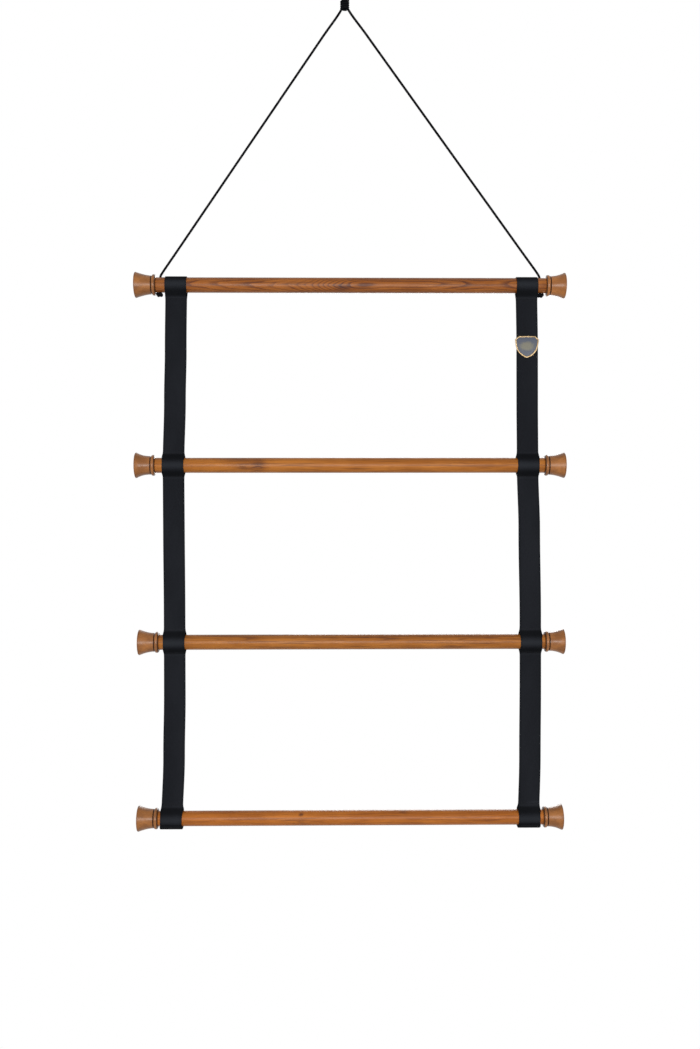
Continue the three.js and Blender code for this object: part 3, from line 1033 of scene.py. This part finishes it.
def makeStitches(surfaces):
    material = threadFinish()
    z1, z2, z3, z4 = rack["axes"]
    bands = {
        "span_1": [z1 - seams["under1"], z2 + seams["over"]],
        "span_2": [split, z3 + seams["over"]],
        "span_3": [z3 - seams["under"], z4 + seams["over4"]],
    }
    for side in sides:
        for body, heights in bands.items():
            points = []
            faces = []
            for z in [height + row for height in heights for row in stitch["rows"]]:
                surface = surfaces[(side, "upper" if z > split else "lower")]
                for face in (-1, 1):
                    centre = Vector((strapMiddle(side, z), 0, z))
                    stitchRow(points, faces, surface, centre, Vector((0, face, 0)))
            if body == "span_3":
                centre = Vector((strapMiddle(side, z4), 0, z4 - web["slack"]))
                for face in (-1, 1):
                    angle = face * math.radians(stitch["lapTurn"])
                    outward = Vector((0, math.sin(angle), -math.cos(angle)))
                    centreOut = centre + outward * web["ring"]
                    stitchRow(points, faces, surfaces[(side, "lap")], centreOut, outward)
            dress(meshPiece(f"stitching_{body}_{side}", points, faces), material, body)


makeStitches(strapSurfaces)
print("seams stitched")

badge = {
    "centre": (0.3391, -0.6908),
    "half": 0.0223,
    "top": 0.0204,
    "shoulder": 0.68,  # share of the half width
    "ear": 0.155,  # share of the height from the top down to the ears
    "back": -0.00225,
    "thick": 0.003,
    "rim": 0.0024,
    "recess": 0.0012,
    "edge": 0.0004,
    "inlayFit": 0.00005,
    "inlaySink": 0.0001,
    "inlayThick": 0.0006,
    "inlayCrown": ((0.0003, 0.00012), (0.0006, 0.00008)),  # steps in and up, from its edge
    "gold": (122, 102, 74),
    "bright": (154, 134, 102),
    "field": (64, 70, 84),
    "cloud": (106, 103, 89),  # a painted reflection: the paler patch across its middle
    "reflectionUp": 0.0015,
    "reflectionWide": 0.0140,
    "reflectionHigh": 0.0085,
}


def shieldOutline():  # (x, z) from the badge's centre, round from the top left
    half = badge["half"]
    top = badge["top"]
    height = 2 * top
    shoulder = half * badge["shoulder"]
    ear = top - height * badge["ear"]
    pulls = [(half * 0.93, top - height * 0.5), (half * 0.9, top - height * 0.82)]  # each side's curve
    rightSide = []
    for t in steps(0, 1, 14):
        weights = [(1 - t) ** 3, 3 * t * (1 - t) ** 2, 3 * t * t * (1 - t), t ** 3]
        points = [(half, ear), *pulls, (0, -top)]
        rightSide.append(tuple(sum(w * point[i] for w, point in zip(weights, points)) for i in (0, 1)))
    leftSide = [(-x, z) for x, z in rightSide[:-1]]
    return [(-shoulder, top), *leftSide, *rightSide[::-1], (shoulder, top)]


def shieldPiece(name, y):  # a flat shield at a depth, from a circle drawn out to the outline
    outline = shieldOutline()
    leaveAlone()
    x, z = badge["centre"]
    bpy.ops.mesh.primitive_circle_add(vertices=len(outline), radius=0.02, fill_type="NGON",
                                      location=(x, y, z), rotation=alongY)
    piece = startPiece(name)
    for vertex, (across, up) in zip(piece.data.vertices, outline):
        vertex.co = (x + across, y, z + up)
    bpy.ops.object.mode_set(mode="EDIT")
    bpy.ops.mesh.select_all(action="SELECT")
    return piece


def goldFinish():
    made = Finish("badge_gold")
    spot = made.place()
    cloud = made.grain(spot, 260, 3)
    scratch = made.grain(spot, (900.0, 900.0, 5000.0), 2)
    colour = cloud.ease(0.35, 0.7).tint(badge["gold"], badge["bright"])
    height = scratch * 0.3 + cloud * 0.3
    rough = cloud.ease(0.3, 0.7, 0.28, 0.42)
    return made.finish(colour, rough, made.bump(height, 0.15, 0.0003), Metallic=1.0)


def enamelFinish():
    made = Finish("badge_enamel")
    spot = made.place((-badge["centre"][0], 0, -badge["centre"][1]))
    x, y, z = made.parts(spot)
    cloud = made.grain(spot, 190, 3, 0.6)
    # painted reflection: paler across the middle, the blue field towards the rim
    right = x / badge["reflectionWide"]
    over = (z - badge["reflectionUp"]) / badge["reflectionHigh"]
    middle = 1 - ((right * right + over * over).root() + (cloud - 0.5) * 0.9).ease(0.5, 1.3)
    colour = middle.tint(badge["field"], badge["cloud"])
    fine = made.grain(spot, 1500, 2)
    rough = fine.ease(0.3, 0.7, 0.42, 0.55)
    return made.finish(colour, rough, made.bump(fine, 0.1, 0.0002), Coat_Weight=0.15, Coat_Roughness=0.3,
                       Specular_IOR_Level=0.3)


def makeBadge():
    front = badge["back"] - badge["thick"]
    plate = shieldPiece("badge_shield", badge["back"])
    pull(y=-badge["thick"])
    pick(plate, "FACE", lambda face: len(face.verts) > 8 and face.calc_center_median().y < front + 1e-5)
    bpy.ops.mesh.inset(thickness=badge["rim"])
    pull(y=badge["recess"])
    pick(plate, "EDGE", lambda edge: all(vert.co.y < front + 1e-5 for vert in edge.verts)
         and any(len(face.verts) <= 4 and abs(face.normal.y) < 0.5 for face in edge.link_faces))
    bpy.ops.mesh.bevel(offset=badge["edge"], segments=3)
    closeUp(plate, 40)
    dress(plate, goldFinish(), "span_1", ("badge_plate",))
    inlay = shieldPiece("badge_enamel_field", front + badge["recess"] - badge["inlaySink"])
    bpy.ops.mesh.select_mode(type="FACE")
    bpy.ops.mesh.inset(thickness=badge["rim"] + badge["inlayFit"])
    bpy.ops.mesh.select_all(action="INVERT")
    bpy.ops.mesh.delete(type="FACE")
    bpy.ops.mesh.select_all(action="SELECT")
    pull(y=-badge["inlayThick"])
    for shrink, rise in badge["inlayCrown"]:
        bpy.ops.mesh.inset(thickness=shrink)
        bpy.ops.transform.translate(value=(0, -rise, 0))
    closeUp(inlay, 60)
    dress(inlay, enamelFinish(), "span_1", ("badge_inlay",))


screw = {
    "spacing": 0.017,
    "headRadius": 0.0034,
    "head": 0.0013,
    "headUp": 0.001,  # off the webbing, over the washer
    "dome": ((0.0006, 1.0), (0.0004, 0.88), (0.0003, 0.62)),  # each step's rise and narrowing
    "shank": 0.0015,
    "reach": 0.00335,  # how far forward the shank runs, into the badge
    "slot": (0.0036, 0.0013, 0.0007),  # of the crossed driver slots: length, depth, width
    "turn": 0.3,  # of the slots, in radians
    "lift": 0.0003,  # how far the back of the webbing bulges under the washer
    "washer": 0.0046,
    "washerThick": 0.0007,
    "washerAt": 0.0004,
    "washerEdge": 0.0002,
    "bore": 0.0018,
    "boreLength": 0.004,
    "dull": (112, 112, 114),
    "bright": (146, 146, 146),
}


def steelFinish():
    made = Finish("screw_steel")
    spot = made.place()
    cloud = made.grain(spot, 700, 3)
    colour = cloud.ease(0.35, 0.7).tint(screw["dull"], screw["bright"])
    rough = cloud.ease(0.3, 0.7, 0.3, 0.45)
    return made.finish(colour, rough, made.bump(cloud, 0.15, 0.0002), Metallic=1.0)


def makeScrew(z, under):
    x = badge["centre"][0]
    headBase = under + screw["headUp"]
    length = headBase + screw["reach"]
    middle = (x, (headBase - screw["reach"]) / 2, z)
    piece = rod("badge_fixing_lower", 32, screw["shank"], length, middle, alongY)
    pick(piece, "FACE", lambda face: face.normal.y > 0.9)
    for rise, size in ((0, screw["headRadius"] / screw["shank"]), *screw["dome"]):
        pull(y=rise)
        bpy.ops.transform.resize(value=(size, 1, size), center_override=(x, headBase, z))
    for turn in (screw["turn"], screw["turn"] + math.pi / 2):
        leaveAlone()
        bpy.ops.mesh.primitive_cube_add(size=1, location=(x, headBase + screw["head"], z),
                                        rotation=(0, turn, 0), scale=screw["slot"])
        cutOut(piece, startPiece("driver"))
    closeUp(piece, 30)
    return piece


def makeWasher(z, under):
    x = badge["centre"][0]
    middle = (x, under + screw["washerAt"], z)
    thick = screw["washerThick"]
    piece = rod("badge_washer_ring_lower", 40, screw["washer"], thick, middle, alongY)
    pick(piece, "EDGE", lambda edge: abs(edge.verts[0].co.y - edge.verts[1].co.y) < 1e-6)
    bpy.ops.mesh.bevel(offset=screw["washerEdge"], segments=2)
    cutOut(piece, rod("bore", 32, screw["bore"], screw["boreLength"], (x, under, z), alongY))
    closeUp(piece, 30)
    return piece


def makeScrews():  # the lower screw and washer, then a copy of both above them
    steel = steelFinish()
    z = badge["centre"][1] - screw["spacing"] / 2
    under = web["gap"] / 2 + web["thick"] + screw["lift"]  # the webbing's back face
    lower = {"screw": makeScrew(z, under), "washer": makeWasher(z, under)}
    for kind, piece in lower.items():
        name = piece.name.replace("lower", "upper")
        upper = copyPiece(piece, name, (0, 0, screw["spacing"]))
        dress(piece, steel, "span_1", (f"badge_{kind}_lower",))
        dress(upper, steel, "span_1", (f"badge_{kind}_upper",))


makeBadge()
makeScrews()
print("badge fixed")

room = {
    "aim": (0, 0, -1.08),
    "floor": -2.7,
    "far": 1.25,
    "near": -7.0,
    "wide": 6.0,
    "fill": 0.16,  # the white surround's share that lights the piece
    "paint": (0.8, 0.8, 0.8, 1),
    "glow": (0.55, 0.55, 0.55, 1),
}
lamps = {  # place, width, height, power
    "softboxLeft": ((-1.35, -3.3, -1.0), 0.45, 1.2, 42),
    "softboxRight": ((1.35, -3.3, -1.0), 0.45, 1.2, 42),
    "overCamera": ((-0.1, -3.4, -0.95), 0.8, 0.6, 39),
    "sideLeft": ((-3.2, -0.9, -0.7), 1.6, 1.6, 12),
    "sideRight": ((3.2, -0.9, -0.7), 1.6, 1.6, 12),
    "rear": ((0.6, 3.3, -0.3), 1.8, 1.8, 50),
}


def seenDirectly(made):  # 1 where the camera, a gloss or a clear piece looks at it
    path = made.node("ShaderNodeLightPath").socket.node.outputs
    names = ("Is Camera Ray", "Is Glossy Ray", "Is Transmission Ray")
    camera, gloss, clear = [Signal(made, path[name]) for name in names]
    return camera.largest(gloss).largest(clear)


def makeRoom():
    world = bpy.data.worlds.new("studio")
    bpy.context.scene.world = world
    made = Finish("studio", world)
    made.shader.inputs["Color"].default_value = (1, 1, 1, 1)
    strength = seenDirectly(made) * (1 - room["fill"]) + room["fill"]
    made.tree.links.new(strength.socket, made.shader.inputs["Strength"])
    leaveAlone()
    middle = (0, (room["far"] + room["near"]) / 2, room["floor"])
    deep = room["far"] - room["near"]
    bpy.ops.mesh.primitive_plane_add(size=1, location=middle, scale=(2 * room["wide"], deep, 1))
    floor = startPiece("floor")
    paint = Finish("floor_paint")
    paint.tree.links.new(seenDirectly(paint).socket, paint.shader.inputs["Emission Strength"])
    paint.finish(room["paint"], 0.9, None, Emission_Color=room["glow"], Specular_IOR_Level=0.0)
    floor.data.materials.append(paint.material)


def makeLamps():
    for name, (place, width, height, power) in lamps.items():
        data = bpy.data.lights.new(name, "AREA")
        data.shape = "RECTANGLE"
        data.size = width
        data.size_y = height
        data.energy = power
        lamp = addObject(name, data)
        lamp.location = place
        lamp.rotation_euler = (Vector(room["aim"]) - Vector(place)).to_track_quat("-Z", "Y").to_euler()


makeRoom()
makeLamps()
bpy.context.scene.view_settings.view_transform = "Standard"
print("room lit")
